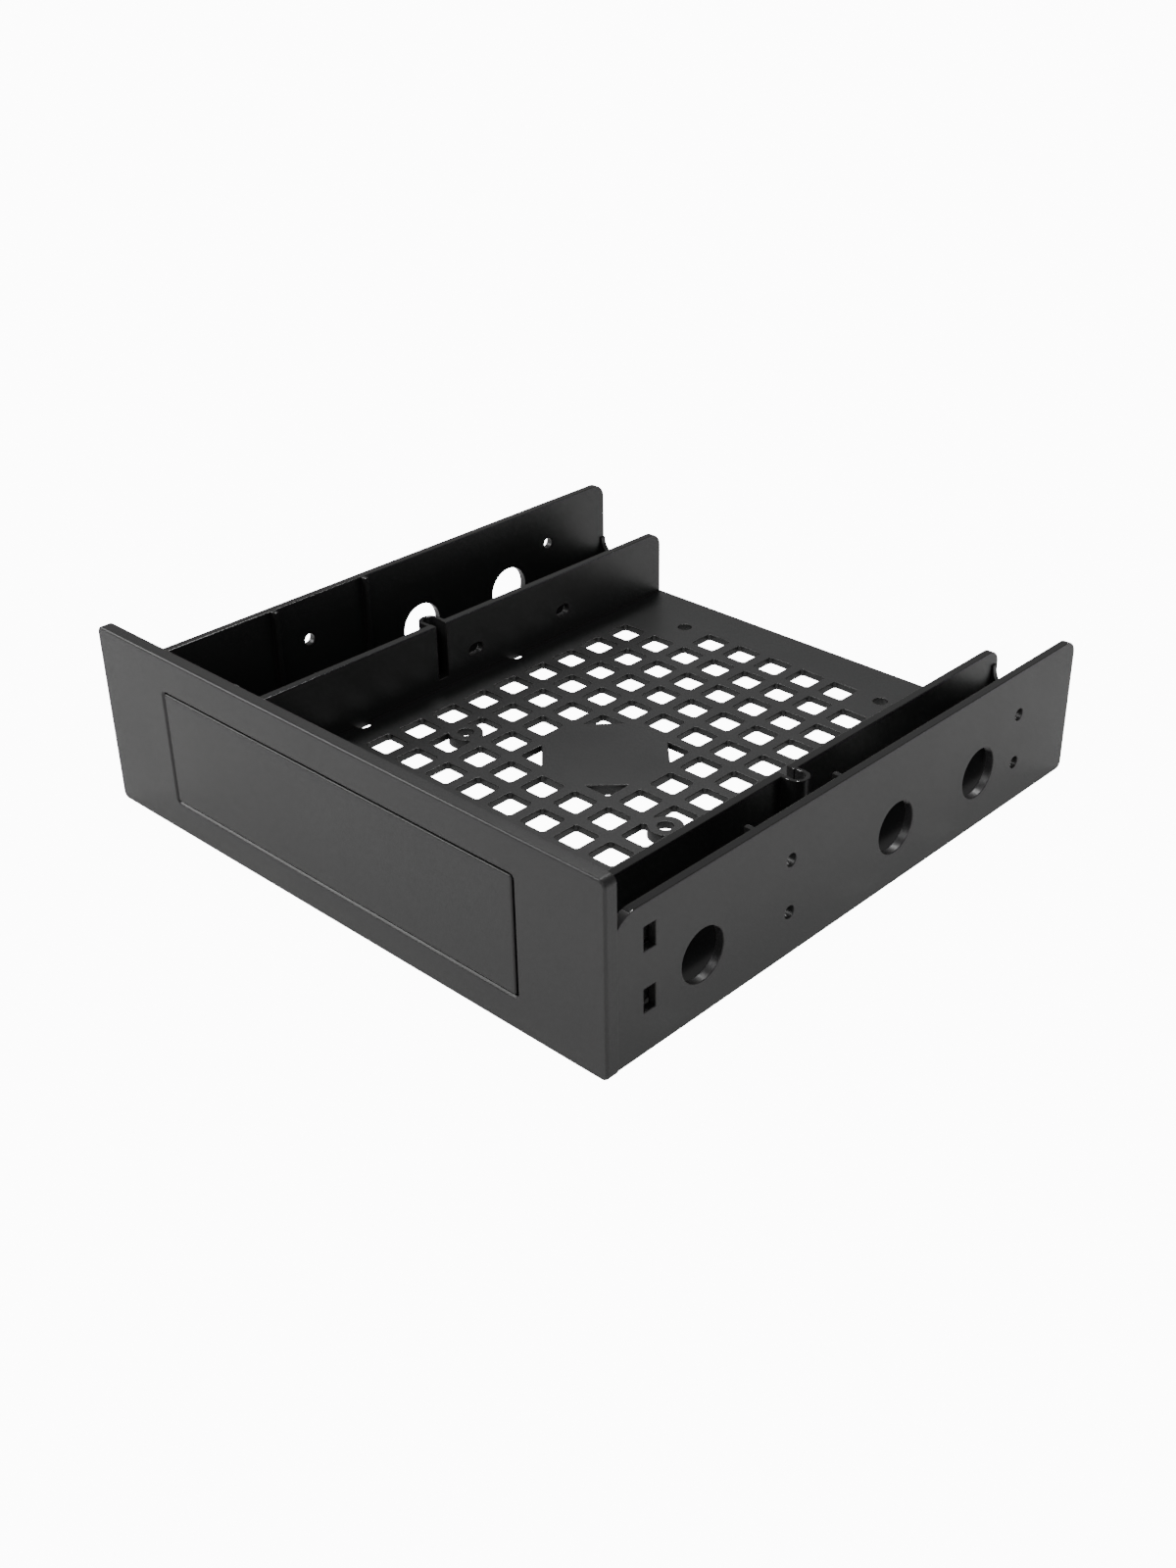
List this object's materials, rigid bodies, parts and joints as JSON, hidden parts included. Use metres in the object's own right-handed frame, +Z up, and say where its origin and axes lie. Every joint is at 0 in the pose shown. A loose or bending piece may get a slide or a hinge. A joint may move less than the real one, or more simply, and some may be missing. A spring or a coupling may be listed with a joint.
{
  "type": "drive_bay_adapter",
  "caption": "Black moulded tray for a 5.25 inch bay that carries a 3.5 or 2.5 inch drive on a lattice floor, with a clip-on front bezel and a pull-out cover.",
  "frame": {"origin": "centre of the bounding box in plan, on the tray's underside", "axes": "+X to the right seen from the front, +Y from the bezel to the rear, +Z up"},
  "size_m": [0.1486, 0.154, 0.0426],
  "materials": {
    "tray_plastic": "fine moulded grain, semi-gloss",
    "bezel_plastic": "fine moulded grain"
  },
  "bodies": {
    "shell": {"tray": "tray_plastic", "front_bezel": "bezel_plastic"},
    "cover": {"bay_cover": "bezel_plastic"}
  },
  "joints": [
    {"name": "cover_pull", "type": "slide", "parent": "shell", "child": "cover", "axis": [0, -1, 0], "range_m": [0, 0.025]}
  ]
}
